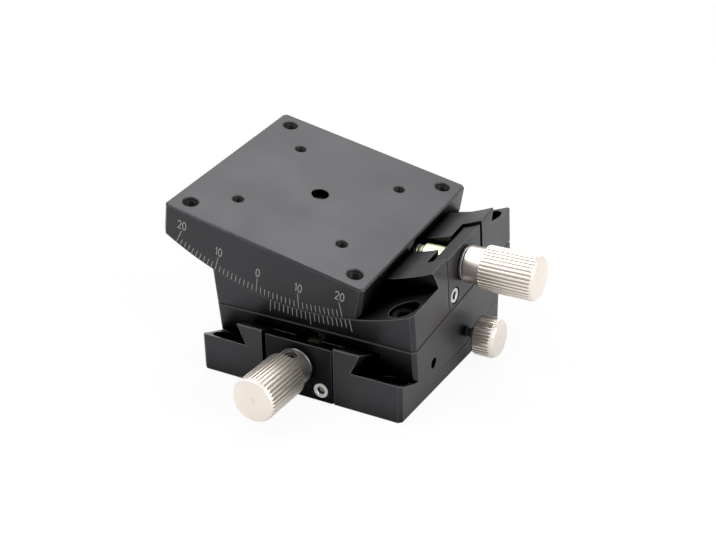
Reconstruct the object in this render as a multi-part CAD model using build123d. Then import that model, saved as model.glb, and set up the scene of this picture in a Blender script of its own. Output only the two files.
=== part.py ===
from build123d import *
import math
import os

# A tilt stage with two axes: two equal arc stages, the upper one turned a quarter turn
# and screwed onto the lower one's table.
# A stage is drawn level in its own frame. Its ways run along X, its worm knob is at +X, its
# scale is at -Y and its clamp at +Y. The tilt axis lies along Y, centre_height over the underside.

# Stage
stage_width = 60.0
top_cover = 3.0
corner_chamfer = 1.0
edge_chamfer = 0.4
edge_break = 0.3
end_round = 1.6
beyond = 1.0

# Pose that the object is drawn in, in degrees from level
lower_rest_tilt = 6.8
upper_rest_tilt = 12.5

# Dovetail arc ways
way_radius = 75.0
way_floor_height = 4.5
rail_height = 5.3
neck_width = 31.2
flank_angle = 27.0
cut_half_angle = 40.0
way_gap = 0.2
flank_gap = 0.08
seat_gap = 0.05
running_gap = 0.05

# Worm and toothed segment
worm_axis_drop = 0.4
worm_crest_radius = 2.0
worm_thread_depth = 0.55
worm_thread_length = 8.0
gear_teeth = 272
gear_tooth_depth = 0.9
gear_back = 1.5
gear_width = 4.2
gear_half_angle = 22.0
tooth_space_share = 0.8
mesh_gap = 0.1
drive_shaft_radius = 2.0
stop_collar_length = 1.2
stop_collar_rise = 0.4
end_play = 0.1
tail_journal_radius = 1.2
tail_gap = 0.3

# End plate that carries the worm, and the slot in the rail that the worm lies in
plate_width = 20.0
plate_thickness = 4.8
plate_top_drop = 0.7
plate_foot_gap = 0.3
plate_shift = 0.35
pocket_gap = 0.7
pocket_relief = 1.0
pocket_relief_height = 10.6
slot_gap = 0.15
slot_depth = 3.8
slot_reach = 17.5
bush_radius = 3.1
bush_length = 13.0
bush_recess = 0.2
bush_flange_radius = 3.65
bush_flange_length = 0.9
tail_bush_radius = 2.2
tail_bush_length = 5.0

# Fine adjustment knob
knob_radius = 6.0
knob_length = 14.6
knob_chamfer_length = 0.9
knob_chamfer_depth = 0.5
knob_bore_depth = 14.0
collar_radius = 5.0
collar_length = 5.1
washer_radius = 4.7
washer_thickness = 0.9
washer_gap = 0.1

# Clamp
clamp_rise = 3.1
clamp_knob_radius = 5.5
clamp_knob_length = 6.2
clamp_knob_stand = 3.3
clamp_bevel_length = 1.3
clamp_bevel_depth = 0.7
clamp_hub_radius = 2.4
clamp_hub_length = 1.2
clamp_stem_radius = 1.5
pad_radius = 1.2
pad_length = 1.5

# Gib
gib_width = 2.0
gib_half_angle = 22.5
gib_screw_reach = 20.3
gib_screw_length = 6.0

# Tapped holes of the table, drawn at the screw's full size
corner_inset = 5.0
small_pattern = 32.0
m3_radius = 1.5
large_tap_depth = 8.0
small_tap_depth = 5.4

# M4 cap screws join the stages
m4_radius = 2.0
m4_hole_gap = 0.25
m4_head_radius = 3.5
m4_head_height = 4.0
m4_head_gap = 0.5
m4_head_sink = 0.45
m4_key = 3.0
m4_key_depth = 2.0
m4_reach = 6.4

# M2.5 cap screws hold the end plates and the toothed segments
m25_radius = 1.25
m25_hole_gap = 0.15
m25_head_radius = 2.25
m25_head_height = 2.5
m25_head_gap = 0.2
m25_key = 2.0
m25_key_depth = 1.2
m25_reach = 5.0
tap_spare = 1.0
plate_screw_inset = 3.3
plate_screw_wall = 0.45
plate_screw_recess = 0.1
centre_web = 1.1

# M3 set screws of the knob and the gib
set_screw_gap = 0.03
set_screw_key = 1.5
set_screw_key_depth = 1.2
set_screw_offset = 0.4
set_screw_sink = 0.6
set_screw_turn_lower = 15.7
set_screw_turn_upper = 205.0

half = stage_width / 2
centre_height = way_floor_height + way_radius
rail_radius = way_radius - rail_height
flank_run = math.tan(math.radians(flank_angle))
table_way_radius = way_radius - way_gap
table_roof_radius = rail_radius - way_gap
rail_end_height = centre_height - math.sqrt(rail_radius ** 2 - half ** 2)
stage_height = centre_height - math.sqrt(table_roof_radius ** 2 - half ** 2) + top_cover
worm_axis_height = way_floor_height + rail_height - worm_axis_drop
worm_root_radius = worm_crest_radius - worm_thread_depth
gear_tip_radius = centre_height - worm_axis_height - worm_crest_radius - mesh_gap
gear_root_radius = gear_tip_radius - gear_tooth_depth
gear_back_radius = gear_root_radius - gear_back
pocket_wall = half - plate_thickness
plate_middle = half - plate_thickness / 2
bush_end = half - bush_recess
bush_start = bush_end - bush_length
shoulder = bush_start - end_play
slot_width = 2 * (bush_flange_radius + slot_gap)
tail_bush_end = -slot_reach - slot_width / 2 - tail_bush_length
collar_start = half + washer_thickness + washer_gap
clamp_radius = way_radius - clamp_rise
m25_hole_radius = m25_radius + m25_hole_gap
m25_counterbore_radius = m25_head_radius + m25_head_gap
plate_screw_offset = plate_width / 2 - plate_screw_inset
plate_screw_height = plate_foot_gap + plate_screw_wall + m25_counterbore_radius
plate_screw_floor = half - plate_screw_recess - m25_head_height
centre_floor = centre_height - gear_back_radius + centre_web
large_pattern = stage_width - 2 * corner_inset
tilt_axis = Axis((0, 0, centre_height), (0, 1, 0))
upright_from = (Align.CENTER, Align.CENTER, Align.MIN)


def arc_height(radius, x):
    return centre_height - math.sqrt(radius ** 2 - x ** 2)


def flank_at(radius):
    return neck_width / 2 + (way_radius - radius) * flank_run


# The heads of the corner screws stay under the hollow arc of the wings
m4_floor = arc_height(way_radius, large_pattern / 2 - m4_head_radius) - m4_head_sink - m4_head_height


def block(width, depth, low, high):
    return Pos(0, 0, low) * Box(width, depth, high - low, align=upright_from)


def upright(radius, x, y, low, high):
    return Pos(x, y, low) * Cylinder(radius, high - low, align=upright_from)


def along_x(radius, y, z, start, end):
    place = Pos(start, y, z) * Rot(0, 90, 0)
    return place * Cylinder(radius, end - start, align=upright_from)


def tilt_cylinder(radius):
    place = Pos(0, 0, centre_height) * Rot(90, 0, 0)
    return place * Cylinder(radius, stage_width + 2 * beyond)


# A section given as (y, distance from the tilt axis), carried round that axis
def arc_sweep(section, half_angle):
    points = [(0, y, centre_height - radius) for y, radius in section]
    face = make_face(Polyline(*points, close=True))
    swept = revolve(face, tilt_axis, 2 * half_angle)
    return swept.rotate(tilt_axis, -half_angle)


def mirrored(section):
    return [(-y, radius) for y, radius in section]


def square_section(half_width, inner_radius, outer_radius):
    return [
        (-half_width, inner_radius),
        (half_width, inner_radius),
        (half_width, outer_radius),
        (-half_width, outer_radius),
    ]


# A lathe outline given as (distance along the axis, radius), turned about Z
def turned(outline):
    points = [(radius, 0, along) for along, radius in outline]
    return revolve(make_face(Polyline(*points, close=True)), Axis.Z, 360)


# From Z to the worm axis along X. What pointed along +X then points up.
def on_worm_axis(shape, start):
    return Pos(start, 0, worm_axis_height) * Rot(0, -90, 0) * Rot(180, 0, 0) * shape


# From Z to the clamp's axis along Y
def on_clamp_axis(shape, x, start):
    return Pos(x, start, arc_height(clamp_radius, x)) * Rot(-90, 0, 0) * shape


def corner_places(spacing):
    return [(x * spacing / 2, y * spacing / 2) for x in (-1, 1) for y in (-1, 1)]


# Screws, drawn upright with the head or the socket end on top

def hex_socket(key, depth):
    return extrude(RegularPolygon(key / 2, 6, major_radius=False), -depth)


def m4_screw(reach):
    outline = [(-reach, 0), (-reach, m4_radius), (0, m4_radius), (0, m4_head_radius)]
    outline += [(m4_head_height, m4_head_radius), (m4_head_height, 0)]
    return turned(outline) - Pos(0, 0, m4_head_height) * hex_socket(m4_key, m4_key_depth)


def m25_screw(reach):
    outline = [(-reach, 0), (-reach, m25_radius), (0, m25_radius), (0, m25_head_radius)]
    outline += [(m25_head_height, m25_head_radius), (m25_head_height, 0)]
    return turned(outline) - Pos(0, 0, m25_head_height) * hex_socket(m25_key, m25_key_depth)


def set_screw(length):
    body = upright(m3_radius, 0, 0, 0, length)
    return body - Pos(0, 0, length) * hex_socket(set_screw_key, set_screw_key_depth)


# Base: wings with a hollow arc, and the dovetail rail standing between them

def wing_section():
    outer = half + beyond
    crest = flank_at(rail_radius)
    return [
        (flank_at(way_radius), way_radius),
        (crest, rail_radius),
        (crest, rail_radius - rail_height),
        (outer, rail_radius - rail_height),
        (outer, way_radius),
    ]


def base_blank():
    body = block(stage_width, stage_width, 0, rail_end_height)
    body = chamfer(body.edges().filter_by(Axis.Z), corner_chamfer)
    body = chamfer(body.faces().sort_by(Axis.Z)[0].edges(), edge_chamfer)
    body -= tilt_cylinder(rail_radius)
    ends = body.edges().filter_by(Axis.Y).group_by(Axis.Z)[-1]
    return chamfer(ends, edge_chamfer)


def plate_pocket():
    width = plate_width + 2 * pocket_gap
    reach = plate_thickness + beyond
    pocket = Pos(pocket_wall + reach / 2, 0, 0) * block(reach, width, -beyond, stage_height)
    relief = Pos(pocket_wall, 0, 0) * block(2 * pocket_relief, width, pocket_relief_height, stage_height)
    return pocket + relief


def worm_slot():
    floor = worm_axis_height - slot_depth
    length = pocket_wall + slot_reach
    middle = (pocket_wall - slot_reach) / 2
    channel = Pos(middle, 0, 0) * block(length, slot_width, floor, stage_height)
    end = upright(slot_width / 2, -slot_reach, 0, floor, stage_height)
    return channel + end


def plate_screw_holes():
    start = pocket_wall - m25_reach - tap_spare
    sides = (-plate_screw_offset, plate_screw_offset)
    return [along_x(m25_radius, y, plate_screw_height, start, pocket_wall) for y in sides]


def corner_counterbore(x, y):
    hole = upright(m4_radius + m4_hole_gap, x, y, -beyond, m4_floor)
    return hole + upright(m4_head_radius + m4_head_gap, x, y, m4_floor, stage_height)


def stage_base():
    body = base_blank()
    body -= arc_sweep(wing_section(), cut_half_angle)
    body -= arc_sweep(mirrored(wing_section()), cut_half_angle)
    body -= plate_pocket()
    body -= worm_slot()
    body -= along_x(tail_bush_radius, 0, worm_axis_height, tail_bush_end, -slot_reach)
    body -= plate_screw_holes()
    for x, y in corner_places(large_pattern):
        body -= corner_counterbore(x, y)
    return body


# Table: a plate whose underside is the matching arc, with the hollow dovetail cut through it

def table_blank():
    low = centre_height - table_way_radius
    body = block(stage_width, stage_width, low, stage_height)
    body = chamfer(body.edges().filter_by(Axis.Z), corner_chamfer)
    body = chamfer(body.faces().sort_by(Axis.Z)[-1].edges(), edge_chamfer)
    body = body & tilt_cylinder(table_way_radius)
    ends = body.edges().filter_by(Axis.Y).group_by(Axis.Z)[0]
    return fillet(ends, end_round)


def hollow_dovetail_section():
    deep = table_roof_radius
    wide = way_radius + beyond
    gib_side = flank_gap + gib_width + seat_gap
    return [
        (-flank_at(wide) - flank_gap, wide),
        (-flank_at(deep) - flank_gap, deep),
        (flank_at(deep) + gib_side, deep),
        (flank_at(wide) + gib_side, wide),
    ]


# Relief in the roof for the worm's bush, which stands a little over the rail
def bush_relief():
    top_of_bush = math.hypot(bush_start, centre_height - worm_axis_height - bush_radius)
    return square_section(bush_radius + way_gap, top_of_bush - way_gap, way_radius)


def gear_groove():
    top_of_worm = centre_height - worm_axis_height - worm_crest_radius
    return square_section(gear_width / 2 + seat_gap, top_of_worm - way_gap, way_radius)


def gear_seat():
    return square_section(gear_width / 2 + seat_gap, gear_back_radius, way_radius)


def tapped_hole(radius, x, y, depth):
    return upright(radius, x, y, stage_height - depth, stage_height + beyond)


def segment_screw_hole():
    counterbore = upright(m25_counterbore_radius, 0, 0, centre_floor, stage_height + beyond)
    return counterbore + upright(m25_hole_radius, 0, 0, centre_floor - centre_web - beyond, centre_floor)


def side_hole(radius, x):
    start = flank_at(rail_radius)
    return on_clamp_axis(upright(radius, 0, 0, 0, half + beyond - start), x, start)


def stage_table():
    body = table_blank()
    body -= arc_sweep(hollow_dovetail_section(), cut_half_angle)
    body -= arc_sweep(bush_relief(), cut_half_angle)
    body -= arc_sweep(gear_groove(), cut_half_angle)
    body -= arc_sweep(gear_seat(), gear_half_angle)
    for x, y in corner_places(large_pattern):
        body -= tapped_hole(m4_radius, x, y, large_tap_depth)
    for x, y in corner_places(small_pattern):
        body -= tapped_hole(m3_radius, x, y, small_tap_depth)
    body -= segment_screw_hole()
    for x in (-gib_screw_reach, gib_screw_reach):
        body -= side_hole(m3_radius + set_screw_gap, x)
    return body - side_hole(clamp_stem_radius + running_gap, 0)


# Worm drive

def worm_plate(shift):
    body = Pos(plate_middle, shift, 0) * block(plate_thickness, plate_width, plate_foot_gap, stage_height)
    body = chamfer(body.faces().sort_by(Axis.X)[-1].edges().filter_by(Axis.Z), edge_break)
    body -= tilt_cylinder(rail_radius + plate_top_drop)
    body -= along_x(bush_radius, 0, worm_axis_height, 0, half + beyond)
    for y in (-plate_screw_offset, plate_screw_offset):
        body -= along_x(m25_hole_radius, y, plate_screw_height, 0, half)
        body -= along_x(m25_counterbore_radius, y, plate_screw_height, plate_screw_floor, half + beyond)
    return body


def plate_screw(y):
    place = Pos(plate_screw_floor, y, plate_screw_height) * Rot(0, 90, 0)
    return place * m25_screw(plate_screw_floor - pocket_wall + m25_reach)


def worm_bush():
    bore = drive_shaft_radius + running_gap
    flange_start = pocket_wall - bush_flange_length
    outline = [
        (bush_start, bore),
        (bush_start, bush_radius),
        (flange_start, bush_radius),
        (flange_start, bush_flange_radius),
        (pocket_wall, bush_flange_radius),
        (pocket_wall, bush_radius),
        (bush_end, bush_radius),
        (bush_end, bore),
    ]
    return on_worm_axis(turned(outline), 0)


def tail_bush():
    end = tail_bush_end + tail_bush_length
    body = along_x(tail_bush_radius, 0, worm_axis_height, tail_bush_end, end)
    return body - along_x(tail_journal_radius + running_gap, 0, worm_axis_height, tail_bush_end, end)


# Shaft in one piece with the worm: tail journal, thread as rings, stop collar, drive end
def worm():
    pitch = 2 * math.pi * (gear_tip_radius + mesh_gap) / gear_teeth
    turns = int(worm_thread_length / pitch)
    first = -turns * pitch / 2
    tail = tail_bush_end + tail_gap
    stop_radius = drive_shaft_radius + stop_collar_rise
    shaft_end = collar_start + knob_bore_depth
    outline = [(tail, 0), (tail, tail_journal_radius), (-slot_reach, tail_journal_radius)]
    outline += [(-slot_reach, worm_root_radius)]
    for turn in range(turns):
        outline.append((first + turn * pitch, worm_root_radius))
        outline.append((first + (turn + 0.5) * pitch, worm_crest_radius))
    outline += [
        (first + turns * pitch, worm_root_radius),
        (shoulder - stop_collar_length, worm_root_radius),
        (shoulder - stop_collar_length, stop_radius),
        (shoulder, stop_radius),
        (shoulder, drive_shaft_radius),
        (shaft_end, drive_shaft_radius),
        (shaft_end, 0),
    ]
    return on_worm_axis(turned(outline), 0)


def worm_segment():
    body = arc_sweep(square_section(gear_width / 2, gear_back_radius, gear_tip_radius), gear_half_angle)
    step = 360 / gear_teeth
    count = int(gear_half_angle / step)
    space = math.radians(step) * gear_tip_radius * tooth_space_share / 2
    mouth = centre_height - gear_tip_radius
    root = centre_height - gear_root_radius
    spread = space * beyond / gear_tooth_depth
    notch_points = [(-space - spread, 0, mouth - beyond), (0, 0, root), (space + spread, 0, mouth - beyond)]
    notch = extrude(make_face(Polyline(*notch_points, close=True)), gear_width, both=True)
    notches = [notch.rotate(tilt_axis, step * (tooth + 0.5)) for tooth in range(-count, count)]
    return body - notches - upright(m25_radius, 0, 0, mouth - beyond, centre_floor)


def segment_screw():
    return Pos(0, 0, centre_floor) * m25_screw(centre_web + gear_back)


def thrust_washer():
    body = along_x(washer_radius, 0, worm_axis_height, half, half + washer_thickness)
    return body - along_x(drive_shaft_radius + running_gap, 0, worm_axis_height, 0, half + washer_thickness)


def in_collar(shape, turn):
    return Pos(0, 0, collar_length / 2 + set_screw_offset) * Rot(0, 0, turn) * Rot(0, 90, 0) * shape


def worm_knob(set_screw_turn):
    end = collar_length + knob_length
    outline = [
        (0, drive_shaft_radius),
        (0, collar_radius),
        (collar_length, collar_radius),
        (collar_length, knob_radius),
        (end - knob_chamfer_length, knob_radius),
        (end, knob_radius - knob_chamfer_depth),
        (end, 0),
        (knob_bore_depth, 0),
        (knob_bore_depth, drive_shaft_radius),
    ]
    body = turned(outline)
    body -= in_collar(upright(m3_radius + set_screw_gap, 0, 0, 0, knob_radius), set_screw_turn)
    return on_worm_axis(body, collar_start)


def knob_set_screw(set_screw_turn):
    length = collar_radius - drive_shaft_radius - set_screw_sink
    screw = Pos(0, 0, drive_shaft_radius) * set_screw(length)
    return on_worm_axis(in_collar(screw, set_screw_turn), collar_start)


# Gib and clamp

def gib():
    low = table_way_radius - way_gap
    high = table_roof_radius + way_gap
    outer = flank_gap + gib_width
    section = [
        (flank_at(low) + flank_gap, low),
        (flank_at(high) + flank_gap, high),
        (flank_at(high) + outer, high),
        (flank_at(low) + outer, low),
    ]
    return arc_sweep(section, gib_half_angle)


# Where a flat end of this radius, coming in from the side, meets the slanted gib
def gib_face(end_radius):
    return flank_at(clamp_radius - end_radius) + flank_gap + gib_width + seat_gap


def gib_screw(x):
    return on_clamp_axis(set_screw(gib_screw_length), x, gib_face(m3_radius))


def clamp_pad():
    return on_clamp_axis(upright(pad_radius, 0, 0, 0, pad_length), 0, gib_face(pad_radius))


def clamp_screw():
    start = gib_face(pad_radius) + pad_length + seat_gap
    end = half + clamp_knob_stand + clamp_knob_length / 2
    return on_clamp_axis(upright(clamp_stem_radius, 0, 0, 0, end - start), 0, start)


def clamp_knob():
    outline = [
        (-clamp_hub_length, clamp_stem_radius),
        (-clamp_hub_length, clamp_hub_radius),
        (0, clamp_hub_radius),
        (0, clamp_knob_radius),
        (clamp_knob_length - clamp_bevel_length, clamp_knob_radius),
        (clamp_knob_length, clamp_knob_radius - clamp_bevel_depth),
        (clamp_knob_length, 0),
        (clamp_knob_length / 2, 0),
        (clamp_knob_length / 2, clamp_stem_radius),
    ]
    return on_clamp_axis(turned(outline), 0, half + clamp_knob_stand)


def joining_screws():
    screw = m4_screw(m4_floor + m4_reach)
    return [Pos(x, y, m4_floor) * screw for x, y in corner_places(large_pattern)]


# Placing: a table's own pieces turn about the tilt axis, then the whole stage is set in place

def on_table(shape, tilt):
    return shape.rotate(tilt_axis, tilt)


def as_lower(shape):
    return shape.rotate(Axis.Z, -90)


def as_upper(shape):
    lifted = Pos(0, 0, stage_height) * shape
    return lifted.rotate(Axis((0, 0, centre_height), (1, 0, 0)), lower_rest_tilt)


def stage_pieces(tilt, shift, set_screw_turn):
    fixed = {
        "base": [stage_base()],
        "worm_plate": [worm_plate(shift)],
        "plate_screws": [plate_screw(y) for y in (-plate_screw_offset, plate_screw_offset)],
        "worm_bush": [worm_bush()],
        "tail_bush": [tail_bush()],
        "thrust_washer": [thrust_washer()],
        "worm": [worm()],
        "worm_knob": [worm_knob(set_screw_turn)],
        "knob_set_screw": [knob_set_screw(set_screw_turn)],
    }
    moving = {
        "table": [stage_table()],
        "worm_segment": [worm_segment()],
        "segment_screw": [segment_screw()],
        "gib": [gib()],
        "gib_screws": [gib_screw(x) for x in (-gib_screw_reach, gib_screw_reach)],
        "clamp_pad": [clamp_pad()],
        "clamp_screw": [clamp_screw()],
        "clamp_knob": [clamp_knob()],
    }
    for name, shapes in moving.items():
        fixed[name] = [on_table(shape, tilt) for shape in shapes]
    return fixed


def write_node(name, shapes):
    if len(shapes) == 1:
        export_step(shapes[0], "parts/" + name + ".step")
    else:
        export_step(Compound(children=shapes), "parts/" + name + ".step")


def build():
    os.makedirs("parts", exist_ok=True)
    for name, shapes in stage_pieces(lower_rest_tilt, plate_shift, set_screw_turn_lower).items():
        write_node("lower_" + name, [as_lower(shape) for shape in shapes])
    for name, shapes in stage_pieces(upper_rest_tilt, -plate_shift, set_screw_turn_upper).items():
        write_node("upper_" + name, [as_upper(shape) for shape in shapes])
    write_node("joining_screws", [as_upper(screw) for screw in joining_screws()])


build()
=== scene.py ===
import math

import bmesh
import bpy
import numpy as np
from mathutils import Matrix, Vector


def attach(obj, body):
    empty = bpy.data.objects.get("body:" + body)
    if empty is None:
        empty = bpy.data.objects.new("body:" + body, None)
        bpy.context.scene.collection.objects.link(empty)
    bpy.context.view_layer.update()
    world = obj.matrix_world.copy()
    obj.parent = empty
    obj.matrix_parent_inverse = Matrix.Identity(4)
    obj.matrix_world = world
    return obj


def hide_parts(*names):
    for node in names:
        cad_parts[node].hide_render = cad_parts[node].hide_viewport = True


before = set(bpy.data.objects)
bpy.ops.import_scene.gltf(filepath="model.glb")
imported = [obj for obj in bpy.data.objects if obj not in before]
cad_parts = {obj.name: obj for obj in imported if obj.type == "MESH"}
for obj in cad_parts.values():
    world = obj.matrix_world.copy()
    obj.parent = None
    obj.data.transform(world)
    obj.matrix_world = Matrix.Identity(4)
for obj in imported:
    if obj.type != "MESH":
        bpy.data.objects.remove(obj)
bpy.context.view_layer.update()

# Shapes are worked out in millimetres in a stage's own frame, as it stands level: ways along X,
# worm knob at +X, scale at -Y, clamp at +Y. stagePlace then takes them to the tilted stack.
millimetre = 0.001  # in metres
levels = ("lower", "upper")
stageSizes = {
    "half": 30.0,
    "centreHeight": 79.5,  # tilt axis over the underside
    "roofRadius": 69.5,  # roof of the table's hollow dovetail, from the tilt axis
    "topCover": 3.0,  # metal over that roof at the table's ends
    "tilt": {"lower": 6.8, "upper": 12.5},  # degrees from level, as the frame stands
    "wormHeight": 9.4,
    "clampRadius": 71.9,  # clamp screw and gib screws from the tilt axis
    "boltPlace": 25.0,  # outer bolt holes from the middle, both ways
}
bodyOf = {
    "lower": {"base": "base", "table": "mid", "worm": "lower_worm", "clamp": "lower_clamp"},
    "upper": {"base": "mid", "table": "table", "worm": "upper_worm", "clamp": "upper_clamp"},
}


def moving(x, y, z):
    move = np.eye(4)
    move[:3, 3] = (x, y, z)
    return move


def turning(axis, degrees, height=0.0):
    # a turn about an axis that crosses the Z axis at this height
    turn = np.eye(4)
    turn[:3, :3] = np.array(Matrix.Rotation(math.radians(degrees), 3, axis))
    return moving(0, 0, height) @ turn @ moving(0, 0, -height)


def arcHeight(radius, x):
    return stageSizes["centreHeight"] - math.sqrt(radius ** 2 - x ** 2)


stageHeight = arcHeight(stageSizes["roofRadius"], stageSizes["half"]) + stageSizes["topCover"]


def stagePlace(level, onTable):
    centre = stageSizes["centreHeight"]
    place = turning("Y", stageSizes["tilt"][level] if onTable else 0.0, centre)
    if level == "lower":
        return turning("Z", -90) @ place
    return turning("X", stageSizes["tilt"]["lower"], centre) @ moving(0, 0, stageHeight) @ place


def addNode(tree, kind, values=None, **settings):
    # values go to the node's inputs, as a link where they are another node's socket
    node = tree.nodes.new(kind)
    for name, value in settings.items():
        setattr(node, name, value)
    for name, value in (values or {}).items():
        if isinstance(value, bpy.types.NodeSocket):
            tree.links.new(value, node.inputs[name])
        else:
            node.inputs[name].default_value = value
    return node


def addMath(tree, operation, first, second, clamp=False):
    node = addNode(tree, "ShaderNodeMath", {0: first, 1: second}, operation=operation, use_clamp=clamp)
    return node.outputs[0]


def mixColours(tree, share, first, second):
    return addNode(tree, "ShaderNodeMix", {0: share, 6: first, 7: second}, data_type="RGBA").outputs[2]


def spreadOver(tree, value, low, high, start=0.0, end=1.0, **settings):
    # takes the stretch of the value from start to end over to low and high
    spread = {0: value, 1: start, 2: end, 3: low, 4: high}
    return addNode(tree, "ShaderNodeMapRange", spread, **settings).outputs[0]


def placedGroup(tree, group, values):
    return addNode(tree, "ShaderNodeGroup", values, node_tree=group).outputs


def newGroup(name, inputs, outputs):
    group = bpy.data.node_groups.new(name, "ShaderNodeTree")
    for label, kind, value in inputs:
        socket = group.interface.new_socket(label, in_out="INPUT", socket_type=kind)
        if value is not None:
            socket.default_value = value
    for label in outputs:
        group.interface.new_socket(label, in_out="OUTPUT", socket_type="NodeSocketFloat")
    return group, group.nodes.new("NodeGroupInput").outputs, group.nodes.new("NodeGroupOutput").inputs


def grainGroup():
    # fine speckle of a blasted surface, and slow clouds as hands and oil leave them
    group, given, made = newGroup("blastedGrain", [
        ("Vector", "NodeSocketVector", None),
        ("Size", "NodeSocketFloat", 0.2),
        ("Cloud", "NodeSocketFloat", 12.0),
    ], ["Speckle", "Clouds"])
    fine = addNode(group, "ShaderNodeTexNoise", {
        "Vector": given["Vector"], "Scale": addMath(group, "DIVIDE", 1 / millimetre, given["Size"]),
        "Detail": 2.0, "Roughness": 0.6})
    cloud = addNode(group, "ShaderNodeTexNoise", {
        "Vector": given["Vector"], "Scale": addMath(group, "DIVIDE", 1 / millimetre, given["Cloud"]),
        "Detail": 3.0, "Roughness": 0.55})
    group.links.new(fine.outputs[0], made["Speckle"])
    group.links.new(spreadOver(group, cloud.outputs[0], 0.0, 1.0, start=0.3, end=0.7), made["Clouds"])
    return group


bluntCosine = 0.92  # an edge that turns so little that its cosine stays over this gets no wear and no painted highlight


def edgeGroup():
    # up to 1 within Width of a sharp edge, 0 on flats and blunt edges: the limit less the cosine
    # between the true normal and the normal of the edge rounded to that width, times Amount and a
    # patchy noise
    # the mask lays a light colour on sharp edges, partly wear and partly painted highlight
    group, given, made = newGroup("wornAndHighlitEdges", [
        ("Vector", "NodeSocketVector", None),
        ("Width", "NodeSocketFloat", 0.15),
        ("Amount", "NodeSocketFloat", 4.0),
    ], ["Mask"])
    width = addMath(group, "MULTIPLY", given["Width"], millimetre)
    rounded = addNode(group, "ShaderNodeBevel", {"Radius": width}, samples=6)
    plain = addNode(group, "ShaderNodeNewGeometry")
    cosine = addNode(group, "ShaderNodeVectorMath", {
        0: rounded.outputs[0], 1: plain.outputs["Normal"]}, operation="DOT_PRODUCT")
    sharp = addMath(group, "SUBTRACT", bluntCosine, cosine.outputs["Value"], clamp=True)
    patchy = addNode(group, "ShaderNodeTexNoise", {"Vector": given["Vector"], "Scale": 320.0, "Detail": 3.0})
    share = spreadOver(group, patchy.outputs[0], 0.45, 1.0, start=0.35, end=0.65)
    strong = addMath(group, "MULTIPLY", sharp, given["Amount"])
    group.links.new(addMath(group, "MULTIPLY", strong, share, clamp=True), made["Mask"])
    return group


def turningGroup():
    # fine lines round a turned piece: noise on the distance along its outline, the V of its UV map
    group, given, made = newGroup("turningLines", [
        ("Vector", "NodeSocketVector", None),
        ("Pitch", "NodeSocketFloat", 0.12),
    ], ["Lines", "Chatter"])
    parts = addNode(group, "ShaderNodeSeparateXYZ", {0: given["Vector"]})
    along = addMath(group, "DIVIDE", parts.outputs[1], given["Pitch"])
    lines = addNode(group, "ShaderNodeTexNoise", {
        "W": along, "Scale": 1.0, "Detail": 2.0}, noise_dimensions="1D")
    both = addNode(group, "ShaderNodeCombineXYZ", {
        0: addMath(group, "MULTIPLY", parts.outputs[0], 40.0), 1: addMath(group, "MULTIPLY", along, 0.5)})
    chatter = addNode(group, "ShaderNodeTexNoise", {"Vector": both.outputs[0], "Scale": 1.0, "Detail": 1.0})
    group.links.new(lines.outputs[0], made["Lines"])
    group.links.new(chatter.outputs[0], made["Chatter"])
    return group


def cavityGroup():
    # mask of painted shade: 0 in the open, 1 deep in holes, slots and grooves, as far as Reach sees other
    # surfaces
    group, given, made = newGroup("paintedCavityShade", [
        ("Reach", "NodeSocketFloat", 6.0),
        ("Start", "NodeSocketFloat", 0.75),
    ], ["Mask"])
    reach = addMath(group, "MULTIPLY", given["Reach"], millimetre)
    openness = addNode(group, "ShaderNodeAmbientOcclusion", {"Distance": reach}, samples=8).outputs["AO"]
    shut = spreadOver(
        group, openness, 0.0, 1.0, start=given["Start"], end=0.25, interpolation_type="SMOOTHSTEP")
    group.links.new(shut, made["Mask"])
    return group


blastedGrain = grainGroup()
wornAndHighlitEdges = edgeGroup()
turningLines = turningGroup()
paintedCavityShade = cavityGroup()


def newMaterial(name, metallic, ior=1.5):
    material = bpy.data.materials.new(name)
    material.use_nodes = True
    tree = material.node_tree
    shader = tree.nodes["Principled BSDF"]
    shader.inputs["Metallic"].default_value = metallic
    shader.inputs["IOR"].default_value = ior
    return material, tree, shader


def onObject(tree):
    return addNode(tree, "ShaderNodeTexCoord").outputs["Object"]


def bumped(tree, shader, height, strength, depth, edgeRadius=0.0):
    # fine relief, on edges that are rounded to the radius where one is given
    values = {"Height": height, "Strength": strength, "Distance": depth * millimetre}
    if edgeRadius:
        rounded = addNode(tree, "ShaderNodeBevel", {"Radius": edgeRadius * millimetre}, samples=6)
        values["Normal"] = rounded.outputs[0]
    tree.links.new(addNode(tree, "ShaderNodeBump", values).outputs[0], shader.inputs["Normal"])


# sizes, depths and reaches of the finishes are in millimetres
blackFinish = {
    "deep": (0.012, 0.0121, 0.0136, 1), "pale": (0.017, 0.0172, 0.0193, 1),
    "grain": 0.16, "cloud": 14.0,  # size of the speckle and of the clouds
    "grainDepth": 0.02,
    "rough": (0.29, 0.38),
    "ior": 1.42,
    "sheenTint": (0.95, 0.94, 1.0, 1),
    # the edge colour is partly wear and partly painted highlight; the cavity colour is painted shade in
    # hollows
    "edge": (0.30, 0.30, 0.31, 1), "edgeRound": 0.4, "edgeWidth": 0.3, "edgeAmount": 12.0,
    "cavityShade": (0.003, 0.003, 0.0032, 1), "cavityReach": 14.0, "cavityStart": 0.8,
}
# painted shade on the end plates: a darker colour, and hollow shade that reaches farther, the most round the
# knob
shadedPlateFinish = dict(
    blackFinish, deep=(0.008, 0.008, 0.009, 1), pale=(0.012, 0.012, 0.013, 1),
    cavityReach=18.0, cavityStart=1.0)
# the lower plate's copy reflects less: more painted shade
dullShadedPlateFinish = dict(shadedPlateFinish, ior=1.22)
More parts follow.
